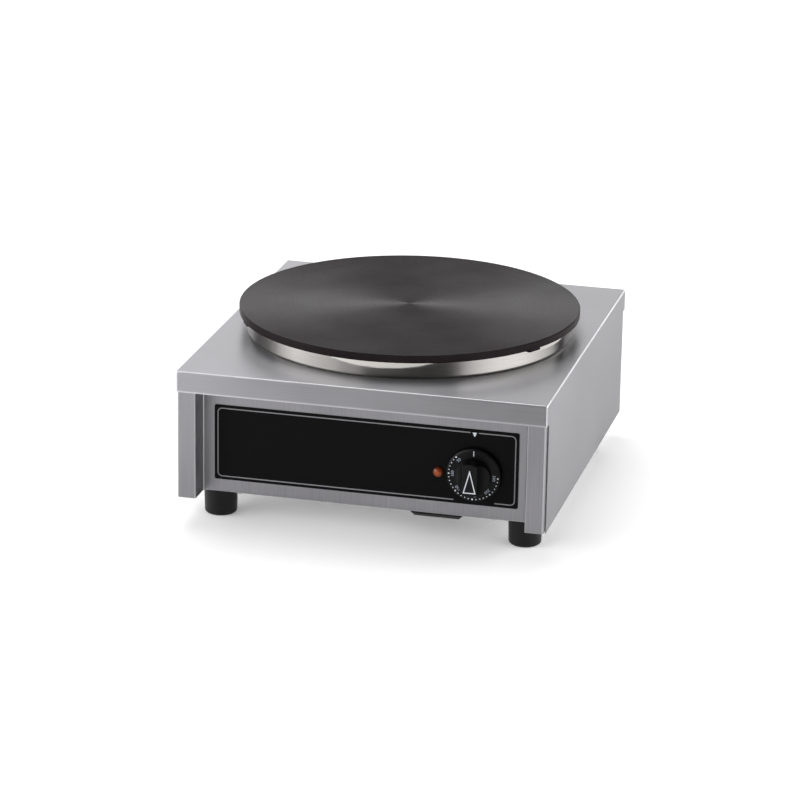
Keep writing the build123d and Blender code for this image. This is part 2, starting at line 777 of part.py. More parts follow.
def feeler(radius, length, exit_place, route):
    """A feeler under the griddle and its capillary, which drops through the shield and runs on."""
    axis_z = griddle_under - feeler_diameter / 2
    with BuildPart() as bulb:
        with BuildSketch(Plane(origin=(-length / 2, -radius, axis_z), x_dir=(0, 1, 0), z_dir=(1, 0, 0))):
            Circle(feeler_diameter / 2)
        extrude(amount=length)
        fillet(bulb.edges().filter_by(GeomType.CIRCLE), feeler_diameter / 6)
        with BuildLine() as run:
            FilletPolyline(
                (length / 2 - capillary_diameter / 2, -radius, axis_z),
                (*exit_place, axis_z),
                *route,
                radius=capillary_bend,
            )
        tube = run.wires()[0]
        with BuildSketch(Plane(origin=tube @ 0, z_dir=tube % 0)):
            Circle(capillary_diameter / 2)
        sweep(path=tube)
    return bulb


control_back = -(panel_face - body_start)
capillary_x = dial_x - control_box[0] / 4
capillary_y = control_back + control_box[2] / 2
control_roof = dial_z + control_box[1] / 2
thermostat_feeler = feeler(
    outer_lane,
    feeler_length,
    feeler_exit,
    [
        (*feeler_exit, shield_floor - 3 * capillary_bend),
        (capillary_x, capillary_y, shield_floor - 3 * capillary_bend),
        (capillary_x, capillary_y, control_roof),
    ],
)
save(thermostat_feeler, "thermostat_feeler")

# ----------------------------------------------------------------------------------------------
# Safety cut-out with a reset button that is reached from below, and its moulded cover
# ----------------------------------------------------------------------------------------------

ledge = base_top + button_sink
with BuildPart() as safety_cutout:
    with BuildSketch(Plane.XY.offset(base_top)):
        with Locations((cutout_x, cutout_y)):
            RectangleRounded(cutout_ear[0], cutout_ear[1], cutout_ear[1] / 4)
    extrude(amount=cutout_ear[2])
    with BuildSketch(Plane.XY.offset(base_top)):
        with Locations((cutout_x, cutout_y)):
            Circle(cutout_radius)
    extrude(amount=cutout_height)
    with BuildSketch(Plane.XY.offset(base_top + cutout_height)):
        with Locations((cutout_x - cutout_radius / 2, cutout_y), (cutout_x + cutout_radius / 2, cutout_y)):
            Rectangle(blade[1], blade[0])
    extrude(amount=blade[2])
    with BuildSketch(Plane.XY.offset(base_top)):
        with Locations((cutout_x, cutout_y)):
            Circle(button_radius + running_clearance)
    extrude(amount=button_sink, mode=Mode.SUBTRACT)
    with BuildSketch(Plane.XY.offset(ledge)):
        with Locations((cutout_x, cutout_y)):
            Circle(button_collar[0] + 2 * running_clearance)
    extrude(amount=button_collar[1] + 2 * button_travel, mode=Mode.SUBTRACT)
save(safety_cutout, "safety_cutout")

with BuildPart() as reset_button:
    with BuildSketch(Plane.XY.offset(ledge)):
        with Locations((cutout_x, cutout_y)):
            Circle(button_collar[0])
    extrude(amount=button_collar[1])
    with BuildSketch(Plane.XY.offset(ledge)):
        with Locations((cutout_x, cutout_y)):
            Circle(button_radius)
    extrude(amount=-(ledge - cover_bottom + button_proud))
    fillet(reset_button.edges().group_by(Axis.Z)[0], button_radius / 4)
save(reset_button, "reset_button")

cutout_side = cutout_y + cutout_radius / 2
cutout_feeler = feeler(
    inner_lane,
    cutout_feeler_length,
    cutout_exit,
    [
        (*cutout_exit, base_top + cutout_height + 3 * capillary_bend),
        (cutout_x, cutout_side, base_top + cutout_height + 3 * capillary_bend),
        (cutout_x, cutout_side, base_top + cutout_height),
    ],
)
save(cutout_feeler, "cutout_feeler")

with BuildPart() as underside_cover:
    with BuildSketch(Plane.XY.offset(base_under)):
        with Locations((cutout_x, cutout_y)):
            RectangleRounded(cover_width, cover_length, cover_corner)
    extrude(amount=-cover_drop)
    chamfer(underside_cover.faces().sort_by(Axis.Z)[0].edges(), cover_chamfer)
    # The inside steps in above the bevel, so that the wall keeps its thickness.
    for inset, depth in (
        (cover_wall, cover_drop - cover_chamfer),
        (cover_wall + cover_chamfer / 2, cover_drop - cover_wall),
    ):
        with BuildSketch(Plane.XY.offset(base_under)):
            with Locations((cutout_x, cutout_y)):
                RectangleRounded(cover_width - 2 * inset, cover_length - 2 * inset, cover_corner - cover_wall)
        extrude(amount=-depth, mode=Mode.SUBTRACT)
    with BuildSketch(Plane.XY.offset(base_under)):
        with Locations(*cover_screw_places):
            Rectangle(cover_ear, 2 * cover_ear)
            Circle(base_screw / 2 + bolt_clearance, mode=Mode.SUBTRACT)
    extrude(amount=-cover_wall)
    with BuildSketch(Plane.XY.offset(cover_bottom)):
        with Locations((cutout_x, cutout_y)):
            Circle(button_radius + 2 * bolt_clearance)
    extrude(amount=cover_wall, mode=Mode.SUBTRACT)
save(underside_cover, "underside_cover")

with BuildPart() as cover_screws:
    head_radius, head_height = base_screw_head
    for x, y in cover_screw_places:
        with Locations((x, y, base_under - cover_wall)):
            Cylinder(head_radius, head_height, align=(Align.CENTER, Align.CENTER, Align.MAX))
            Cylinder(
                base_screw / 2,
                cover_wall + base_sheet + base_screw / 2,
                align=(Align.CENTER, Align.CENTER, Align.MIN),
            )
save(cover_screws, "cover_screws")

# ----------------------------------------------------------------------------------------------
# Supply connection at the back: terminal block, cable gland and bonding terminal
# ----------------------------------------------------------------------------------------------

with BuildPart() as terminal_block:
    block_width, block_depth, block_height = block_size
    with BuildSketch(Plane.XY.offset(base_top)):
        with Locations((gland_x, block_y)):
            RectangleRounded(block_width, block_depth, blade[1])
    extrude(amount=block_height)
    with BuildSketch(Plane.XY.offset(base_top + block_height)):
        with Locations((gland_x, block_y)):
            with GridLocations(block_pole_pitch, block_depth / 2, block_poles, 2):
                Circle(block_pole_pitch / 5)
    extrude(amount=-block_height / 3, mode=Mode.SUBTRACT)
    with BuildSketch(Plane.XZ.offset(-(block_y + block_depth / 2))):
        with Locations((gland_x, base_top + block_height / 3)):
            with GridLocations(block_pole_pitch, 1, block_poles, 1):
                Circle(block_pole_pitch / 5)
    extrude(amount=block_depth / 3, mode=Mode.SUBTRACT)
save(terminal_block, "terminal_block")

with BuildPart() as gland_body:
    with BuildSketch(rear_plane(gland_x, gland_z)):
        RegularPolygon(gland_hex_flats / 2, 6, major_radius=False)
    extrude(amount=gland_hex_thick)
    with BuildSketch(rear_plane(gland_x, gland_z, gland_thread_inside)):
        Circle(gland_thread_radius)
    extrude(amount=gland_thread_inside + gland_hex_thick + gland_cap_length / 2)
    with BuildSketch(rear_plane(gland_x, gland_z, gland_thread_inside)):
        Circle(gland_bore_radius)
    extrude(amount=gland_thread_inside + gland_hex_thick + gland_cap_length, mode=Mode.SUBTRACT)
save(gland_body, "gland_body")

with BuildPart() as gland_cap:
    with BuildSketch(rear_plane(gland_x, gland_z, -gland_hex_thick)):
        Circle(gland_cap_radius)
    extrude(amount=gland_cap_length)
    fillet(gland_cap.edges().sort_by(Axis.Y)[-1], gland_cap_radius / 4)
    with BuildSketch(rear_plane(gland_x, gland_z, -gland_hex_thick)):
        Circle(gland_thread_radius)
    extrude(amount=gland_cap_length / 2, mode=Mode.SUBTRACT)
    with BuildSketch(rear_plane(gland_x, gland_z, -gland_hex_thick)):
        Circle(gland_bore_radius)
    extrude(amount=gland_cap_length, mode=Mode.SUBTRACT)
save(gland_cap, "gland_cap")

with BuildPart() as gland_nut:
    with BuildSketch(rear_plane(gland_x, gland_z, sheet)):
        RegularPolygon(gland_nut_flats / 2, 6, major_radius=False)
        Circle(gland_thread_radius, mode=Mode.SUBTRACT)
    extrude(amount=-gland_nut_thick)
save(gland_nut, "gland_nut")

with BuildPart() as bonding_stud:
    with BuildSketch(rear_plane(bond_x, bond_z, sheet + bond_inside)):
        Circle(bond_diameter / 2)
    extrude(amount=bond_inside + sheet + bond_outside)
    chamfer(bonding_stud.edges().sort_by(Axis.Y)[-1], bond_diameter / 8)
    # A thread relief at the outer nut marks where the free end starts.
    with BuildSketch(rear_plane(bond_x, bond_z, -nut_height)):
        Circle(bond_diameter)
        Circle(bond_diameter / 2 - bond_relief, mode=Mode.SUBTRACT)
    extrude(amount=bond_relief, mode=Mode.SUBTRACT)
save(bonding_stud, "bonding_stud")

with BuildPart() as bonding_nuts:
    for depth, thick in ((0.0, nut_height), (sheet, -nut_height)):
        with BuildSketch(rear_plane(bond_x, bond_z, depth)):
            RegularPolygon(nut_flats / 2, 6, major_radius=False)
            Circle(bond_diameter / 2, mode=Mode.SUBTRACT)
        extrude(amount=thick)
save(bonding_nuts, "bonding_nuts")

# ----------------------------------------------------------------------------------------------
# Four moulded feet on threaded studs, which screw out of nuts on the base to level the griddle
# ----------------------------------------------------------------------------------------------

for place, (x, y) in foot_places.items():
    with BuildPart() as foot:
        with BuildSketch(Plane(origin=(x, y, 0), x_dir=(1, 0, 0), z_dir=(0, -1, 0))):
            with BuildLine():
                Polyline(
                    (0, 0),
                    (foot_bottom_radius, 0),
                    (foot_top_radius, base_under),
                    (0, base_under),
                    close=True,
                )
            make_face()
        revolve(axis=Axis((x, y, 0), (0, 0, 1)))
        fillet(foot.edges().filter_by(GeomType.CIRCLE).sort_by(Axis.Z)[0], foot_edge)
        with Locations((x, y, base_under)):
            Cylinder(
                foot_stud_diameter / 2,
                foot_stud_inside,
                align=(Align.CENTER, Align.CENTER, Align.MAX),
                mode=Mode.SUBTRACT,
            )
    save(foot, f"foot_{place}")
    with BuildPart() as foot_stud:
        with Locations((x, y, base_under - foot_stud_inside)):
            Cylinder(
                foot_stud_diameter / 2,
                foot_stud_inside + foot_stud_above,
                align=(Align.CENTER, Align.CENTER, Align.MIN),
            )
        chamfer(foot_stud.edges().filter_by(GeomType.CIRCLE).sort_by(Axis.Z)[-1], foot_stud_diameter / 10)
    save(foot_stud, f"foot_stud_{place}")

with BuildPart() as foot_nuts:
    with BuildSketch(Plane.XY.offset(base_top)):
        with Locations(*foot_places.values()):
            RegularPolygon(foot_nut_flats / 2, 6, major_radius=False)
            Circle(foot_stud_diameter / 2 + foot_thread_clearance, mode=Mode.SUBTRACT)
    extrude(amount=foot_nut_height)
save(foot_nuts, "foot_nuts")
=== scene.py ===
# %% [markdown]
# # An electric crepe maker, dressed for the studio
#
# A crepe maker is a round cast-iron griddle on a square box of folded stainless steel. The CAD
# frame already holds every solid at its true size, so this file adds what CAD leaves plain: the
# finishes, the printed scales, the screw threads and the light. Each cell does one small job and
# prints what it made, so the cells can be run one by one, as in a notebook.

# %% Load the frame and keep its box
import math

import bmesh
import bpy
from mathutils import Matrix, Vector


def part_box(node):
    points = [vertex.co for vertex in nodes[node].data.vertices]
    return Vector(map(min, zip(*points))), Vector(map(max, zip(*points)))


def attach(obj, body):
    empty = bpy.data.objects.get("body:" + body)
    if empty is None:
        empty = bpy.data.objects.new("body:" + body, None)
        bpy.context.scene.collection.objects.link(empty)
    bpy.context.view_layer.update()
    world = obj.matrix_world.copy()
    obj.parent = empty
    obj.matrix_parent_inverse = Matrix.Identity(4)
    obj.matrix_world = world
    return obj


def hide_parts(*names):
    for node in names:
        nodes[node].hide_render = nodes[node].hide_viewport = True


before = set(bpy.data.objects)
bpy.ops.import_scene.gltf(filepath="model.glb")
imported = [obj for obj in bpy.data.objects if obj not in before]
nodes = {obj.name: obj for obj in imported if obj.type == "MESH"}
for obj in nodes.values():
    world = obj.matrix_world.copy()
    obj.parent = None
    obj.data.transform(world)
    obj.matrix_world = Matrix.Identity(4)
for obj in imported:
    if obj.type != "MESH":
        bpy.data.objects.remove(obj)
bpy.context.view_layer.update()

# %% [markdown]
# ## Units and colours
#
# Sizes on a drawing are in millimetres and Blender's are in metres, so one factor turns them.
# Colours are given as sRGB hex values, as on a screen, but a renderer adds up light, so
# it needs linear values. One function does that for every colour in the file.

# %% Millimetres and hex colours
MM = 0.001


def linear(hex_colour):
    """An sRGB hex value as a linear RGBA colour."""
    channels = [int(hex_colour[i : i + 2], 16) / 255 for i in (1, 3, 5)]
    return [c / 12.92 if c <= 0.04045 else ((c + 0.055) / 1.055) ** 2.4 for c in channels] + [1.0]


print("mid grey in light:", round(linear("#808080")[0], 3))

# %% [markdown]
# ## One function for every node
#
# A material is a graph of nodes. Adding one always takes the same steps: make it, change its
# settings, then set or link its inputs. One function does all of that. An input is named as on
# the node or by its number, and its value is a number, a hex colour or another node, which
# stands for its first output in use.

# %% A finish and the function that adds its nodes
class Finish:
    """A material whose nodes are added one at a time."""

    def __init__(self, name):
        self.material = bpy.data.materials.new(name)
        self.material.use_nodes = True
        self.tree = self.material.node_tree
        self.tree.nodes.clear()

    def add(self, kind, inputs, **settings):
        """Adds a node of that kind with its settings, and fills its inputs."""
        node = self.tree.nodes.new("ShaderNode" + kind)
        for name, value in settings.items():
            setattr(node, name, value)
        in_use = [socket for socket in node.inputs if socket.enabled]
        for name, value in inputs.items():
            named = [socket for socket in in_use if socket.name == name]
            target = in_use[name] if isinstance(name, int) else named[0]
            if isinstance(value, bpy.types.Node):
                value = next(output for output in value.outputs if output.enabled)
            if isinstance(value, bpy.types.NodeSocket):
                self.tree.links.new(value, target)
            else:
                target.default_value = linear(value) if isinstance(value, str) else value
        return node


def dress(finish, *names):
    """Gives CAD nodes or new pieces one finish."""
    for name in names:
        mesh = (nodes[name] if isinstance(name, str) else name).data
        mesh.materials.clear()
        mesh.materials.append(finish.material)


# %% [markdown]
# ## From a real size to a pattern
#
# Nearly every surface here is a cloudy pattern of some size: scratches, grit, stains. Noise is
# read from the Object coordinates, which are metres on the piece itself, so a pattern stays put
# when the piece turns. Dividing by the size of a lump in millimetres gives it its true scale, and
# a lump that is much longer one way is a scratch. The last step is the same for all of them too:
# a colour, a roughness and a relief go into one Principled shader.

# %% Patterns and the shader
def lumps(finish, sizes, detail=2.0):
    """Noise whose lumps have these sizes in millimetres along X, Y and Z."""
    where = finish.add("TexCoord", {}).outputs["Object"]
    placed = finish.add("Mapping", {"Vector": where, "Scale": [1 / (size * MM) for size in sizes]})
    return finish.add("TexNoise", {"Vector": placed, "Scale": 1.0, "Detail": detail})


def between(finish, pattern, low, high, start=0.3, end=0.7):
    """A number that goes from low to high as the pattern goes from start to end."""
    ends = {"Value": pattern, "From Min": start, "From Max": end, "To Min": low, "To Max": high}
    return finish.add("MapRange", ends)


def coat(finish, colour, roughness, relief, depth, **shader):
    """Ends a finish with its shader; the relief is raised by a depth in millimetres."""
    raised = finish.add("Bump", {"Height": relief, "Distance": depth * MM})
    inputs = {"Base Color": colour, "Roughness": roughness, "Normal": raised}
    inputs.update({name.replace("_", " "): value for name, value in shader.items()})
    finish.add("OutputMaterial", {"Surface": finish.add("BsdfPrincipled", inputs)})
    return finish


def two_toned(name, low, high, roughness, size, depth, detail=3.0, spread=0.05, **shader):
    """A finish whose colour and gloss vary together, in lumps of that size."""
    made = Finish(name)
    cloud = lumps(made, [size] * 3, detail)
    colour = made.add("Mix", {"Factor": cloud, "A": low, "B": high}, data_type="RGBA")
    gloss = between(made, cloud, roughness - spread, roughness + spread)
    return coat(made, colour, gloss, cloud, depth, **shader)


print("ways to end a finish:", coat.__name__, two_toned.__name__)

# %% [markdown]
# ## Brushed stainless steel
#
# The housing is 304 stainless sheet, brushed by a belt that leaves fine parallel scratches. They
# spread a highlight across the grain and keep it sharp along it, which is what Anisotropic does.
# Blender stretches the highlight along the tangent, so the tangent is the grain and the rotation
# of a quarter turn lays the stretch across it. The scratches themselves are lumps a few hundred
# times longer than wide. Real ones are about 0.05 mm apart; here they are drawn 0.6 mm apart,
# because finer ones would vanish in the picture.
#
# A sheet is brushed before it is folded, so the grain turns with each fold: on the hood it runs
# across the top and down the sides. A fold, where the surface looks along no axis, is given a paler
# colour, a painted highlight, and a lower roughness than the flat faces beside it. So is the hem,
# a band 2.5 mm high along the lower edge of the hood's front and rear lips.

# %% Brushed steel
scratch_width, scratch_length, stain_size = 0.6, 143.0, 143.0
fold_polish, sheet_spread = 0.14, 0.07
facing_limit, fold_full, fold_none = 0.7, 0.9, 0.995
steel_low, steel_high = 0.65, 1.35
hem_low, hem_high, hem_out = 0.163, 0.1655, 0.2305


def scratches_along(steel, grain):
    return lumps(steel, [scratch_length if g else scratch_width for g in grain])


def hem_of(steel):
    """1 on the lower edge of the lips, where a height and a distance from the middle meet: the band
    that gets the painted highlight.
    """
    spot = steel.add("SeparateXYZ", {"Vector": steel.add("TexCoord", {}).outputs["Object"]}).outputs
    low = between(steel, spot["Z"], 1.0, 0.0, hem_low, hem_high)
    away = steel.add("Math", {0: spot["Y"]}, operation="ABSOLUTE")
    out = steel.add("Math", {0: away, 1: hem_out}, operation="GREATER_THAN")
    return steel.add("Math", {0: low, 1: out}, operation="MULTIPLY")


def brushed_steel(name, grain, folded, facing, colours, roughness, anisotropic, hemmed=False):
    """The scratches run along grain, and along folded on the faces that look along facing."""
    steel = Finish(name)
    way = steel.add("TexCoord", {}).outputs["Normal"]
    size = steel.add("VectorMath", {0: way}, operation="ABSOLUTE")
    sideways = steel.add("VectorMath", {0: size, 1: facing}, operation="DOT_PRODUCT")
    turned = steel.add("Math", {0: sideways, 1: facing_limit}, operation="GREATER_THAN")
    parts = steel.add("SeparateXYZ", {"Vector": size}).outputs
    flat = steel.add("Math", {0: parts["X"], 1: parts["Y"]}, operation="MAXIMUM")
    flat = steel.add("Math", {0: flat, 1: parts["Z"]}, operation="MAXIMUM")
    fold = between(steel, flat, 1.0, 0.0, fold_full, fold_none)
    if hemmed:
        fold = steel.add("Math", {0: fold, 1: hem_of(steel)}, operation="MAXIMUM")
    across, down = scratches_along(steel, grain), scratches_along(steel, folded)
    scratches = steel.add("Mix", {"Factor": turned, "A": across, "B": down}, data_type="FLOAT")
    stains = lumps(steel, [stain_size] * 3)
    mixed = steel.add("Math", {0: scratches, 1: stains}, operation="ADD")
    shade = between(steel, mixed, 0.0, 1.0, steel_low, steel_high)
    dark, light, fold_highlight = colours
    sheet = steel.add("Mix", {"Factor": shade, "A": dark, "B": light}, data_type="RGBA")
    # Folds and the hem take the third colour, a painted highlight.
    colour = steel.add("Mix", {"Factor": fold, "A": sheet, "B": fold_highlight}, data_type="RGBA")
    smooth, coarse = roughness - sheet_spread, roughness + sheet_spread
    rough = between(steel, mixed, smooth, coarse, steel_low, steel_high)
    polish = between(steel, fold, 0.0, fold_polish, 0.0, 1.0)
    rough = steel.add("Math", {0: rough, 1: polish}, operation="SUBTRACT")
    lay = steel.add("Mix", {"Factor": turned, "A": grain, "B": folded}, data_type="VECTOR")
    return coat(
        steel, colour, rough, scratches, 0.02,
        Tangent=lay, Metallic=1.0, Anisotropic=anisotropic, Anisotropic_Rotation=0.25,
    )


along_x, along_y, along_z = (1, 0, 0), (0, 1, 0), (0, 0, 1)
# The third colour of each set is the painted highlight on folds and the hem.
hood_colours = ("#807F82", "#959497", "#B8B7BA")
# The panel's steel is painted darker than the hood's: a painted shade for the front faces.
panel_colours = ("#757477", "#88878A", "#9F9EA1")
base_colours = ("#A9A8AA", "#B9B8BA", "#C6C5C8")
hood_steel = brushed_steel(
    "steel_brushed_hood", along_x, along_z, along_x, hood_colours, 0.45, 0.75, hemmed=True,
)
panel_steel = brushed_steel(
    "steel_brushed_panel", along_z, along_y, along_z, panel_colours, 0.36, 0.5,
)
base_steel = brushed_steel("steel_mill_base", along_x, along_z, along_y, base_colours, 0.36, 0.4)
dress(hood_steel, "top_cover")
dress(panel_steel, "front_panel", "rear_panel")
dress(base_steel, "base_plate")
print("steel finishes:", [m.name for m in bpy.data.materials if m.name.startswith("steel")])

# %% [markdown]
# ## The polished belt
#
# The ring under the griddle is polished, not brushed, so it shows the studio almost as a mirror
# would, with only the faint lines of the lathe round it, about 1 mm apart.

# %% Polished belt
polished = Finish("steel_polished_belt")
lathe_lines = lumps(polished, (33, 33, 1.1), detail=1.0)
belt_tones = {"Factor": lathe_lines, "A": "#AEACA7", "B": "#BCBAB5"}
belt_colour = polished.add("Mix", belt_tones, data_type="RGBA")
belt_roughness = between(polished, lathe_lines, 0.05, 0.10)
coat(polished, belt_colour, belt_roughness, lathe_lines, 0.004, Metallic=1.0, Anisotropic=0.3)
dress(polished, "plate_belt")

# %% [markdown]
# ## Turned and seasoned cast iron
#
# The griddle is cast iron, turned flat on a lathe and then seasoned with oil, which burns to a
# dark brown-black film. The turning leaves rings half a millimetre apart, and rings make the two
# bright fans that meet in the middle: a radial tangent about Z gives them. Noise that is read
# from the distance to the axis alone is the same all round, so it draws those rings. The oil film
# adds soft brown clouds, and the grain of the casting shows through it as a fine speckle.

# %% Seasoned cast iron
iron = Finish("iron_seasoned")
iron_low, iron_high = 1.15, 1.85
on_griddle = iron.add("TexCoord", {}).outputs["Object"]
flat_place = iron.add("Mapping", {"Vector": on_griddle, "Scale": (1, 1, 0)})
from_middle = iron.add("VectorMath", {0: flat_place}, operation="LENGTH")


def turned_rings(spacing):
    """Rings that many millimetres apart round the griddle's axis."""
    counted = iron.add("Math", {0: from_middle, 1: 1 / (spacing * MM)}, operation="MULTIPLY")
    along_radius = iron.add("CombineXYZ", {"X": counted})
    return iron.add("TexNoise", {"Vector": along_radius, "Scale": 1.0, "Detail": 2.0})


fine_rings, wide_rings = turned_rings(0.5), turned_rings(2.4)
oil_clouds, casting_grain = lumps(iron, [91] * 3, detail=5.0), lumps(iron, [1.4] * 3)
tone = iron.add("Math", {0: oil_clouds, 1: wide_rings}, operation="ADD")
tone = iron.add("Math", {0: tone, 1: casting_grain}, operation="ADD")
shade = between(iron, tone, 0.0, 1.0, iron_low, iron_high)
coat(
    iron,
    iron.add("Mix", {"Factor": shade, "A": "#16110F", "B": "#272224"}, data_type="RGBA"),
    between(iron, tone, 0.33, 0.52, iron_low, iron_high),
    iron.add("Math", {0: fine_rings, 1: casting_grain}, operation="ADD"), 0.03,
    Tangent=iron.add("Tangent", {}, direction_type="RADIAL", axis="Z"),
    Anisotropic=0.8, Anisotropic_Rotation=0.25, Specular_IOR_Level=0.022, Specular_Tint="#D8DCFF",
)
dress(iron, "griddle_plate")

# %% [markdown]
# ## The fascia, the knob, the feet and the cover
#
# The fascia is a black polyester film on a plate, printed from behind, so it is smooth with a
# soft gloss. The knob is a black phenolic moulding, polished in its tool. The feet, the gland and
# the underside cover are black polyamide from a tool blasted with half-millimetre grit, which
# leaves a faint grain.

# %% Black film and mouldings
fascia_film = two_toned(
    "polyester_film_black", "#060607", "#090909", 0.36, 1.1, 0.01, detail=1.0, spread=0.02,
    Specular_IOR_Level=0.05,
)
knob_phenolic = two_toned(
    "phenolic_black_knob", "#060607", "#0A0A0C", 0.42, 0.5, 0.006, Specular_IOR_Level=0.12,
)
black_plastic = two_toned(
    "polyamide_black", "#08080A", "#0D0D0F", 0.4, 0.5, 0.02, Specular_IOR_Level=0.2,
)
button_red = two_toned("polyamide_red_button", "#7A1512", "#8A1A16", 0.4, 0.5, 0.006)
corners = [f"{end}_{side}" for end in ("front", "rear") for side in ("left", "right")]
dress(fascia_film, "control_fascia")
dress(knob_phenolic, "thermostat_knob")
dress(black_plastic, "underside_cover", "lamp_body", "lamp_nut")
dress(black_plastic, "gland_body", "gland_cap", "gland_nut")
dress(black_plastic, *[f"foot_{corner}" for corner in corners])
dress(button_red, "reset_button")
print("black mouldings:", len(corners), "feet, a knob, a cover, a gland and a lamp")

# %% [markdown]
# ## The lamp
#
# A dome of amber polycarbonate over a neon. It passes some light and glows a little from inside.
# The glow is lighter over the neon, in the middle. Lens and glow turn dark red at the rim, a
# painted shade for the wall seen edge on, so the colour changes with the distance from the lamp's
# own axis.

# %% Amber lens
lamp_x, lamp_z, lamp_radius = 85.5, 87.5, 6.2
amber = Finish("polycarbonate_amber")
lens_place = {
    "Vector": amber.add("TexCoord", {}).outputs["Object"],
    "Location": (-lamp_x, 0, -lamp_z), "Scale": (1 / MM, 0, 1 / MM),
}
from_axis = amber.add("VectorMath", {0: amber.add("Mapping", lens_place)}, operation="LENGTH")
# wall runs from 0 in the middle to 1 at the rim; the dark red it brings there is painted shade.
wall = between(amber, from_axis, 0.0, 1.0, 1.0, lamp_radius)
facets = lumps(amber, [2.5] * 3)
lens = amber.add("Mix", {"Factor": wall, "A": "#8A3A0C", "B": "#2E0D03"}, data_type="RGBA")
glow = amber.add("Mix", {"Factor": wall, "A": "#C8640F", "B": "#521A03"}, data_type="RGBA")
coat(
    amber, lens, 0.28, facets, 0.01,
    Transmission_Weight=0.2, Specular_IOR_Level=0.25,
    Emission_Color=glow, Emission_Strength=between(amber, facets, 0.1, 0.2, 0.0, 1.0),
)
dress(amber, "lamp_lens")
print("lens radius:", lamp_radius)

# %% [markdown]
# ## Inside the housing
#
# What the housing hides still gets its own finish, because the model can be opened: oxidised
# heating rods, aluminised sheet, white ceramic fibre, phenolic controls, copper tubes, steatite
# and brass. A worn metal has patches a few millimetres wide, fibre has lumps of 4 mm.

# %% Hidden metals and ceramics
def worn_metal(name, low, high, roughness, size=3.0):
    return two_toned(name, low, high, roughness, size, 0.01, detail=4.0, spread=0.08, Metallic=1.0)


zinc = worn_metal("steel_zinc_plated", "#B8B8B2", "#CFCFCA", 0.3)
oxide = worn_metal("heater_sheath_oxidised", "#4A443F", "#665C54", 0.5)
toned = worn_metal("steel_heat_toned", "#7D746B", "#978D83", 0.42)
aluminised = worn_metal("steel_aluminised", "#C2C3C4", "#D2D3D4", 0.38, size=8.0)
copper = worn_metal("copper_tube", "#B4744F", "#C98A63", 0.3)
brass = worn_metal("brass_terminal", "#B79A55", "#C9AE6A", 0.3)
fibre = two_toned("ceramic_fibre", "#D8D5CC", "#EBE8E0", 0.9, 4.0, 1.0)
steatite = two_toned("steatite_white", "#DCD9D0", "#E8E5DC", 0.35, 0.5, 0.02)
phenolic_pale = two_toned("phenolic_pale", "#A8A294", "#B8B2A4", 0.5, 0.5, 0.02)
dress(zinc, "support_pillars", "pillar_bolts", "clamp_studs", "clamp_nuts", "thermostat_spindle")
dress(zinc, "thermostat_screws", "cover_screws", "base_screws", "foot_nuts")
dress(zinc, *[f"foot_stud_{corner}" for corner in corners])
dress(oxide, "heating_element_inner", "heating_element_middle", "heating_element_outer")
dress(toned, "clamp_bars")
dress(aluminised, "heat_shield")
dress(copper, "thermostat_feeler", "cutout_feeler")
dress(brass, "bonding_stud", "bonding_nuts")
dress(fibre, "insulation_blanket")
dress(steatite, "terminal_block")
dress(phenolic_pale, "thermostat_body", "safety_cutout")
undressed = [name for name, node in nodes.items() if not any(node.data.materials)]
print("nodes without a finish:", undressed)

# %% [markdown]
# ## From a shape to a piece
#
# Each new piece is modelled at the origin, in millimetres, with its axis along Z. The finished
# shape is then set down in metres once for each place it is needed, which is how eight equal
# screws come from one. The normals are recalculated while the shape is still alone.

# %% Shapes, places and pieces
def set_down(x, y, z, turn=Matrix.Identity(4)):
    """A place in millimetres, with Z turned to the piece's axis."""
    return Matrix.Scale(MM, 4) @ Matrix.Translation((x, y, z)) @ turn


def piece(name, shape, body, finish, places=(set_down(0, 0, 0),)):
    """Models a shape, sets a copy down at each place, and rides the whole on a body."""
    work = bmesh.new()
    shape(work)
    bmesh.ops.remove_doubles(work, verts=work.verts, dist=0.0005)
    bmesh.ops.recalc_face_normals(work, faces=work.faces)
    one, whole = bpy.data.meshes.new("one"), bmesh.new()
    work.to_mesh(one)
    for place in places:
        copy = one.copy()
        copy.transform(place)
        whole.from_mesh(copy)
    mesh = bpy.data.meshes.new(name)
    whole.to_mesh(mesh)
    made = bpy.data.objects.new(name, mesh)
    bpy.context.scene.collection.objects.link(made)
    dress(finish, made)
    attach(made, body)
    open_edges = sum(edge.is_boundary for edge in whole.edges)
    print(name, len(mesh.polygons), "faces,", open_edges, "open edges")
    return made


# %% [markdown]
# ## Printing on the panel and the dial
#
# Screen printing lays a film of paint on a flat face. A patch is drawn flat on the X-Z plane from
# a few corners or a circle, and then the whole print is extruded towards the front by the
# thickness of the paint. All the print of one colour on one surface is one piece.

# %% Print helpers
film = 0.08
paint_white = two_toned("print_white", "#BCC0C8", "#CBCFD6", 0.5, 0.5, 0.002)
paint_blue = two_toned("print_blue_grey", "#969EAC", "#A2AAB8", 0.5, 0.5, 0.002)
paint_grey = two_toned("print_grey", "#68676B", "#747377", 0.5, 0.5, 0.002)


def patch(work, *corners):
    face = work.faces.new([work.verts.new((x, 0, z)) for x, z in corners])
    face.normal_update()
    return face


def outline_only(work, face, width):
    """Leaves a band of that width inside the edge of a patch."""
    bmesh.ops.inset_region(
        work, faces=[face], thickness=width, use_boundary=True, use_even_offset=True,
    )
    bmesh.ops.delete(work, geom=[face], context="FACES")


def thicken(work):
    """Extrudes all the patches to the front by the thickness of the paint."""
    raised = bmesh.ops.extrude_face_region(work, geom=work.faces[:])["geom"]
    front = [v for v in raised if isinstance(v, bmesh.types.BMVert)]
    bmesh.ops.translate(work, verts=front, vec=(0, -film, 0))


print("paint thickness in mm:", film)

# %% [markdown]
# ## The border and the index mark
#
# A grey line runs round the fascia, 4 mm inside its edge, with round corners. It stops beside a
# white triangle above the dial, which marks the setting, and again under the dial. A rectangle
# with bevelled corners and an inset gives the line, and cutting it across opens the two gaps.

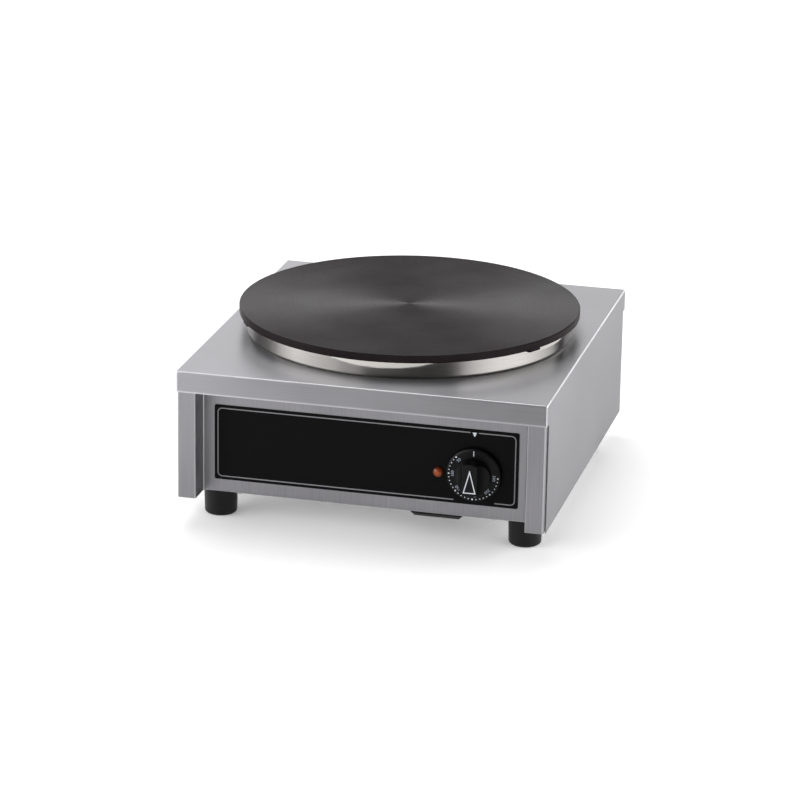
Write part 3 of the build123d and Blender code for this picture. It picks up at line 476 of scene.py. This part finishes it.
# %% Border line and index triangle
fascia_half, fascia_low, fascia_high, fascia_y = 178.0, 52.0, 142.0, -200.8
border_inset, border_width, border_corner = 3.35, 1.3, 5.65
gaps = ((fascia_high, 121.6, 131.2), (fascia_low, 103.6, 151.1))
index_corners = ((124.0, 138.3), (129.2, 138.3), (126.6, 133.0))
on_fascia = (set_down(0, fascia_y, 0),)


def border(work):
    wide = fascia_half - border_inset
    low, high = fascia_low + border_inset, fascia_high - border_inset
    sheet = patch(work, (-wide, low), (wide, low), (wide, high), (-wide, high))
    bmesh.ops.bevel(
        work, geom=sheet.verts[:], offset=border_corner, offset_type="OFFSET",
        segments=8, profile=0.5, affect="VERTICES", material=-1,
    )
    outline_only(work, work.faces[:][0], border_width)
    for edge_z, start, end in gaps:
        for cut in (start, end):
            everything = work.verts[:] + work.edges[:] + work.faces[:]
            bmesh.ops.bisect_plane(
                work, geom=everything, dist=1e-4, plane_co=(cut, 0, 0), plane_no=(1, 0, 0),
            )
        middles = [(face, face.calc_center_median()) for face in work.faces]
        near_edge = [(face, c) for face, c in middles if abs(c.z - edge_z) < 2 * border_corner]
        gap = [face for face, c in near_edge if start < c.x < end]
        bmesh.ops.delete(work, geom=gap, context="FACES")
    thicken(work)


def index_triangle(work):
    patch(work, *index_corners)
    thicken(work)


piece("fascia_border", border, "housing", paint_grey, on_fascia)
piece("index_mark", index_triangle, "housing", paint_white, on_fascia)

# %% [markdown]
# ## The dial's scale
#
# Dots run round the skirt from 50 to 300 degrees, one for every ten, and every fifth is larger.
# Small numbers stand inside them with their tops outwards, and a short line at the top marks off.
# The hollow triangle is printed on the front of the grip. All of it turns with the dial, so it is
# drawn about the dial's own centre and rides on the dial.

# %% Dots, off mark and pointer
dial_x, dial_z, dial_face_y, grip_face_y = 127.5, 89.5, -208.0, -227.0
dots, dot_step, first_dot, dot_radius = 26, 8.92, 45.0, 28.4
small_dot, large_dot, dot_sides, dots_to_large = 0.65, 0.95, 14, 5
off_half, off_low, off_high = 0.4, 22.8, 29.3
pointer_corners, pointer_line = ((-7.4, -15.0), (7.4, -15.0), (0, 12.6)), 1.05
on_skirt = (set_down(dial_x, dial_face_y, dial_z),)
on_grip = (set_down(dial_x, grip_face_y, dial_z),)
facing_front = Matrix.Rotation(math.pi / 2, 4, "X")


def round_dial(angle, reach):
    """Turned by that angle from the top, counter-clockwise from the front, then moved out."""
    return Matrix.Rotation(math.radians(-angle), 4, "Y") @ Matrix.Translation((0, 0, reach))


def dial_marks(work):
    for i in range(dots):
        place = round_dial(first_dot + i * dot_step, dot_radius) @ facing_front
        size = small_dot if i % dots_to_large else large_dot
        bmesh.ops.create_circle(work, cap_ends=True, segments=dot_sides, radius=size, matrix=place)
    left, right = -off_half, off_half
    patch(work, (left, off_low), (right, off_low), (right, off_high), (left, off_high))
    thicken(work)


def pointer(work):
    outline_only(work, patch(work, *pointer_corners), pointer_line)
    thicken(work)


piece("dial_scale", dial_marks, "dial", paint_white, on_skirt)
piece("grip_pointer", pointer, "dial", paint_white, on_grip)

# %% [markdown]
# Numbers are text, which Blender draws as a curve. Each becomes a mesh first and is placed after
# that, so the finished piece sits at the origin like the others.

# %% Numbers
number_radius, number_size, number_count, number_step = 23.8, 4.9, 6, 50


def dial_numbers(work):
    for i in range(number_count):
        text = bpy.data.curves.new("number", "FONT")
        text.body, text.size = str(number_step * (i + 1)), number_size
        text.align_x, text.align_y = "CENTER", "CENTER"
        text.extrude, text.resolution_u = film / 2, 2
        carrier = bpy.data.objects.new("number", text)
        bpy.context.scene.collection.objects.link(carrier)
        graph = bpy.context.evaluated_depsgraph_get()
        solid = bpy.data.meshes.new_from_object(carrier.evaluated_get(graph))
        in_paint = Matrix.Translation((0, -film / 2, 0))
        angle = first_dot + dots_to_large * i * dot_step
        solid.transform(in_paint @ round_dial(angle, number_radius) @ facing_front)
        work.from_mesh(solid)
        bpy.data.objects.remove(carrier)


piece("dial_numbers", dial_numbers, "dial", paint_blue, on_skirt)

# %% [markdown]
# ## Threads
#
# The CAD studs are plain rods, because a thread would only slow the physics down. Here each gets
# its thread. The core is a cylinder with bevelled ends. The ridge is a three-cornered section
# spun round it and lifted a little at each step, so that it climbs one pitch a turn. It fades into
# the core over the first and last quarter turn, as on a rolled thread.

# %% Threaded studs
turn_steps = 20
ridge_sunk, ridge_start, ridge_top, ridge_end = 0.05, 0.06, 0.5, 0.94
fade_turns, fade_least = 0.25, 0.02
rearward, downward = Matrix.Rotation(-math.pi / 2, 4, "X"), Matrix.Rotation(math.pi, 4, "X")


def threaded(work, radius, length, pitch):
    """A threaded stud that stands on the origin."""
    depth = 0.6 * pitch
    core = radius - depth
    middle = Matrix.Translation((0, 0, length / 2))
    bmesh.ops.create_cone(
        work, cap_ends=True, segments=turn_steps,
        radius1=core, radius2=core, depth=length, matrix=middle,
    )
    rims = [edge for edge in work.edges if edge.verts[0].co.z == edge.verts[1].co.z]
    bmesh.ops.bevel(
        work, geom=rims, offset=depth, segments=1, profile=0.5, affect="EDGES", material=-1,
    )
    first, turns = depth, int((length - 2 * depth) / pitch) - 1
    foot = core - ridge_sunk
    section = [(foot, ridge_start), (radius, ridge_top), (foot, ridge_end)]
    points = [work.verts.new((reach, 0, first + part * pitch)) for reach, part in section]
    sides = [work.edges.new(pair) for pair in zip(points, points[1:] + points[:1])]
    bmesh.ops.spin(
        work, geom=points + sides, cent=(0, 0, 0), axis=(0, 0, 1), dvec=(0, 0, pitch / turn_steps),
        angle=2 * math.pi * turns, steps=turn_steps * turns,
    )
    bmesh.ops.holes_fill(work, edges=work.edges[:])
    start, end = first + pitch / 2, first + (turns + 0.5) * pitch
    for vertex in work.verts:
        reach = vertex.co.xy.length
        climbed = min(vertex.co.z - start, end - vertex.co.z) / pitch
        if reach > core + 0.01 and climbed < fade_turns:
            vertex.co.xy *= (core + depth * max(fade_least, climbed / fade_turns)) / reach


foot_x, foot_y, foot_stud_low = 180.5, 167.5, 19.0
foot_stud = {"radius": 4.0, "length": 42.0, "pitch": 1.25}
bond_stud, bond_place = {"radius": 3.0, "length": 30.0, "pitch": 1.0}, (168.0, 190.0, 62.0)
for corner in corners:
    across = -foot_x if "left" in corner else foot_x
    depthways = -foot_y if "front" in corner else foot_y
    thread = piece(
        f"foot_stud_{corner}_thread", lambda work: threaded(work, **foot_stud),
        f"levelling_foot_{corner}", zinc,
        (set_down(across, depthways, foot_stud_low),),
    )
    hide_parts(f"foot_stud_{corner}")

bond_thread = piece(
    "bonding_stud_thread", lambda work: threaded(work, **bond_stud),
    "housing", brass, (set_down(*bond_place, rearward),),
)
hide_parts("bonding_stud")

# %% [markdown]
# ## Cross-recess screws
#
# The screws under the base are pan heads with a cross recess. The shank and the head are one
# outline spun round the axis, open at the top. The recess is a cross of twelve corners, extruded
# down and drawn in so that its walls slope. A bridge of faces then joins the cross to the rim.

# %% Pan-head screws
head_radius, head_height, shank_radius, shank_point = 3.8, 1.8, 2.0, 1.0
recess_arm, recess_width, recess_taper, recess_depth = 0.55, 0.11, 0.6, 0.9
base_screw_places = [(x, y) for x in (-150, -50, 30, 150) for y in (-193.5, 193.5)]
cover_screw_places = [(44.5, -152), (114.5, -152)]


def spun(work, outline, steps=turn_steps, closed=False):
    """Spins an outline of (radius, height) points once round the Z axis."""
    points = [work.verts.new((radius, 0, height)) for radius, height in outline]
    pairs = list(zip(points, points[1:] + points[:1] if closed else points[1:]))
    sides = [work.edges.new(pair) for pair in pairs]
    bmesh.ops.spin(
        work, geom=points + sides, cent=(0, 0, 0), axis=(0, 0, 1),
        angle=2 * math.pi, steps=steps, use_merge=True,
    )


def pan_head(work, shank_length):
    """A screw whose seat is at 0, with its head above and its shank below."""
    spun(work, [
        (0.0, -shank_length), (shank_radius - shank_point, -shank_length),
        (shank_radius, -shank_length + shank_point), (shank_radius, 0),
        (head_radius, 0), (head_radius, head_height * 0.35),
        (head_radius * 0.9, head_height * 0.8), (head_radius * 0.72, head_height),
    ])
    rim = [edge for edge in work.edges if edge.is_boundary and edge.verts[0].co.z > 0]
    arm, width = head_radius * recess_arm, head_radius * recess_width
    corners_of_arm = [(arm, -width), (arm, width), (width, width)]
    turns = [Matrix.Rotation(quarter * math.pi / 2, 3, "Z") for quarter in range(4)]
    points = [turn @ Vector((x, y, head_height)) for turn in turns for x, y in corners_of_arm]
    cross = work.faces.new([work.verts.new(point) for point in points])
    lip = cross.edges[:]
    sunk = bmesh.ops.extrude_face_region(work, geom=[cross])["geom"]
    pit = [v for v in sunk if isinstance(v, bmesh.types.BMVert)]
    bmesh.ops.delete(work, geom=[cross], context="FACES_ONLY")
    bmesh.ops.scale(work, verts=pit, vec=(recess_taper, recess_taper, 1))
    bmesh.ops.translate(work, verts=pit, vec=(0, 0, -recess_depth * head_height))
    bmesh.ops.bridge_loops(work, edges=rim + lip)


def screw_set(name, places):
    low, high = (corner[2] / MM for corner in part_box(name))
    seat = low + head_height
    made = piece(
        name + "_pan", lambda work: pan_head(work, high - seat), "housing", zinc,
        [set_down(x, y, seat, downward) for x, y in places],
    )
    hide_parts(name)


screw_set("base_screws", base_screw_places)
screw_set("cover_screws", cover_screw_places)

# %% [markdown]
# ## The cable gland
#
# The cap of a cable gland has flutes to grip it by, a round nose, and a rubber seal inside that
# closes on the cable. No cable is fitted here, so the seal shows its open bore. Both are spun, and
# every other face of the cap's wall is then inset and sunk to make the flutes.

# %% Gland cap and seal
cap_flutes, flute_depth, flute_edge, cap_wall = 30, 0.6, 0.2, 12.5
wall_low, wall_high = 0.5, 10.6
on_gland = (set_down(120.0, 206.0, 66.0, rearward),)
rubber = two_toned("rubber_seal", "#1A1A1A", "#222222", 0.7, 0.5, 0.02, Specular_IOR_Level=0.3)


def gland_cap(work):
    wall = [(10.0, 0.0), (12.1, 0.0), (cap_wall, wall_low), (cap_wall, wall_high)]
    nose = [(12.3, 11.6), (11.2, 13.6), (9.6, 14.8), (8.2, 15.0), (7.6, 14.6)]
    inside = [(7.4, 7.5), (10.0, 7.5)]
    spun(work, wall + nose + inside, 2 * cap_flutes, closed=True)
    bmesh.ops.remove_doubles(work, verts=work.verts, dist=0.0005)
    middles = [(face, face.calc_center_median()) for face in work.faces]
    half_way = (wall_low + wall_high) / 2
    level = [(face, c) for face, c in middles if abs(c.z - half_way) < 0.1]
    sides = [(face, c) for face, c in level if c.xy.length > cap_wall - 0.2]
    sides.sort(key=lambda pair: math.atan2(pair[1].y, pair[1].x))
    flutes = [face for face, c in sides[::2]]
    bmesh.ops.recalc_face_normals(work, faces=work.faces)
    bmesh.ops.inset_individual(work, faces=flutes, thickness=flute_edge, depth=-flute_depth)


def gland_seal(work):
    outline = [(7.38, 8.0), (7.38, 14.2), (6.9, 14.7), (6.1, 14.5), (5.6, 13.9), (5.55, 8.0)]
    spun(work, outline, 48, closed=True)


cap = piece("gland_cap_ribbed", gland_cap, "housing", black_plastic, on_gland)
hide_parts("gland_cap")
piece("gland_seal", gland_seal, "housing", rubber, on_gland)

# %% [markdown]
# ## The studio
#
# A plain pale floor, a pale surround and five soft lamps: a large one behind and one above for
# the top, one on the right for the side, and two on the left for the front. The floor looks white
# to the camera and in the metal, through Light Path, and still takes the shadow.

# %% Floor
floor_half, floor_drop, floor_glow = 12.0, 0.0002, 0.19
floor_work = bmesh.new()
bmesh.ops.create_grid(floor_work, x_segments=1, y_segments=1, size=floor_half)
bmesh.ops.translate(floor_work, verts=floor_work.verts, vec=(0, 0, -floor_drop))
floor_mesh = bpy.data.meshes.new("studio_floor")
floor_work.to_mesh(floor_mesh)
floor = bpy.data.objects.new("studio_floor", floor_mesh)
bpy.context.scene.collection.objects.link(floor)
floor_paper = Finish("studio_floor")
rays = floor_paper.add("LightPath", {}).outputs
seen = {0: rays["Is Camera Ray"], 1: rays["Is Glossy Ray"]}
seen = floor_paper.add("Math", seen, operation="MAXIMUM")
seen = floor_paper.add("Math", {0: seen, 1: rays["Is Transmission Ray"]}, operation="MAXIMUM")
coat(
    floor_paper, "#E6E6E6", 0.9, lumps(floor_paper, [3] * 3), 0.0, Emission_Color="#FFFFFF",
    Emission_Strength=between(floor_paper, seen, 0.0, floor_glow, 0.0, 1.0),
)
dress(floor_paper, floor)
print("floor side in metres:", 2 * floor_half)

# %% World
surround_strength = 0.12
world = bpy.data.worlds.new("studio")
bpy.context.scene.world = world
world.use_nodes = True
surround = world.node_tree.nodes["Background"]
surround.inputs["Color"].default_value = linear("#FFFFFF")
surround.inputs["Strength"].default_value = surround_strength
bpy.context.scene.view_settings.view_transform = "Standard"
print("surround:", surround_strength)


# %% Lamps
def soft_lamp(name, place, target, width, height, watts):
    """A softbox of that size at place, facing target, all in metres."""
    lamp = bpy.data.lights.new(name, "AREA")
    lamp.shape, lamp.size, lamp.size_y, lamp.energy = "RECTANGLE", width, height, watts
    carrier = bpy.data.objects.new(name, lamp)
    aimed = (Vector(target) - Vector(place)).to_track_quat("-Z", "Y").to_matrix().to_4x4()
    carrier.matrix_world = Matrix.Translation(place) @ aimed
    bpy.context.scene.collection.objects.link(carrier)
    print(name, watts, "W")


soft_lamp("lamp_back", (-0.6, 2.6, 1.0), (0, 0, 0.15), 4.6, 1.6, 64)
soft_lamp("lamp_overhead", (-0.5, 0.35, 2.3), (0, 0, 0.15), 1.8, 1.7, 29)
soft_lamp("lamp_right", (2.2, 0.1, 0.7), (0.1, 0, 0.1), 4.2, 1.3, 94)
soft_lamp("lamp_left", (-1.7, -1.3, 0.75), (-0.15, -0.1, 0.1), 3.0, 1.4, 50)
soft_lamp("lamp_front_left", (-1.2, -0.95, 0.4), (-0.35, -0.45, 0.05), 1.1, 0.6, 7)

# %% [markdown]
# ## The camera
#
# The camera stands about four metres away with a long lens, so the box shows little perspective.
# It looks slightly to the left and down, with a small roll.

# %% Camera
camera_data = bpy.data.cameras.new("camera")
camera_data.sensor_width, camera_data.lens = 36.0, 159.425
camera_data.clip_end = 100.0
camera = bpy.data.objects.new("camera", camera_data)
camera_place = (0.941915, -3.861485, 1.449525)
look_left, look_down, roll = 0.241681, 0.327564, 0.016739
camera.matrix_world = (
    Matrix.Translation(camera_place)
    @ Matrix.Rotation(look_left, 4, "Z")
    @ Matrix.Rotation(math.pi / 2 - look_down, 4, "X")
    @ Matrix.Rotation(roll, 4, "Z")
)
bpy.context.scene.collection.objects.link(camera)
bpy.context.scene.camera = camera
print("lens in mm:", camera_data.lens)
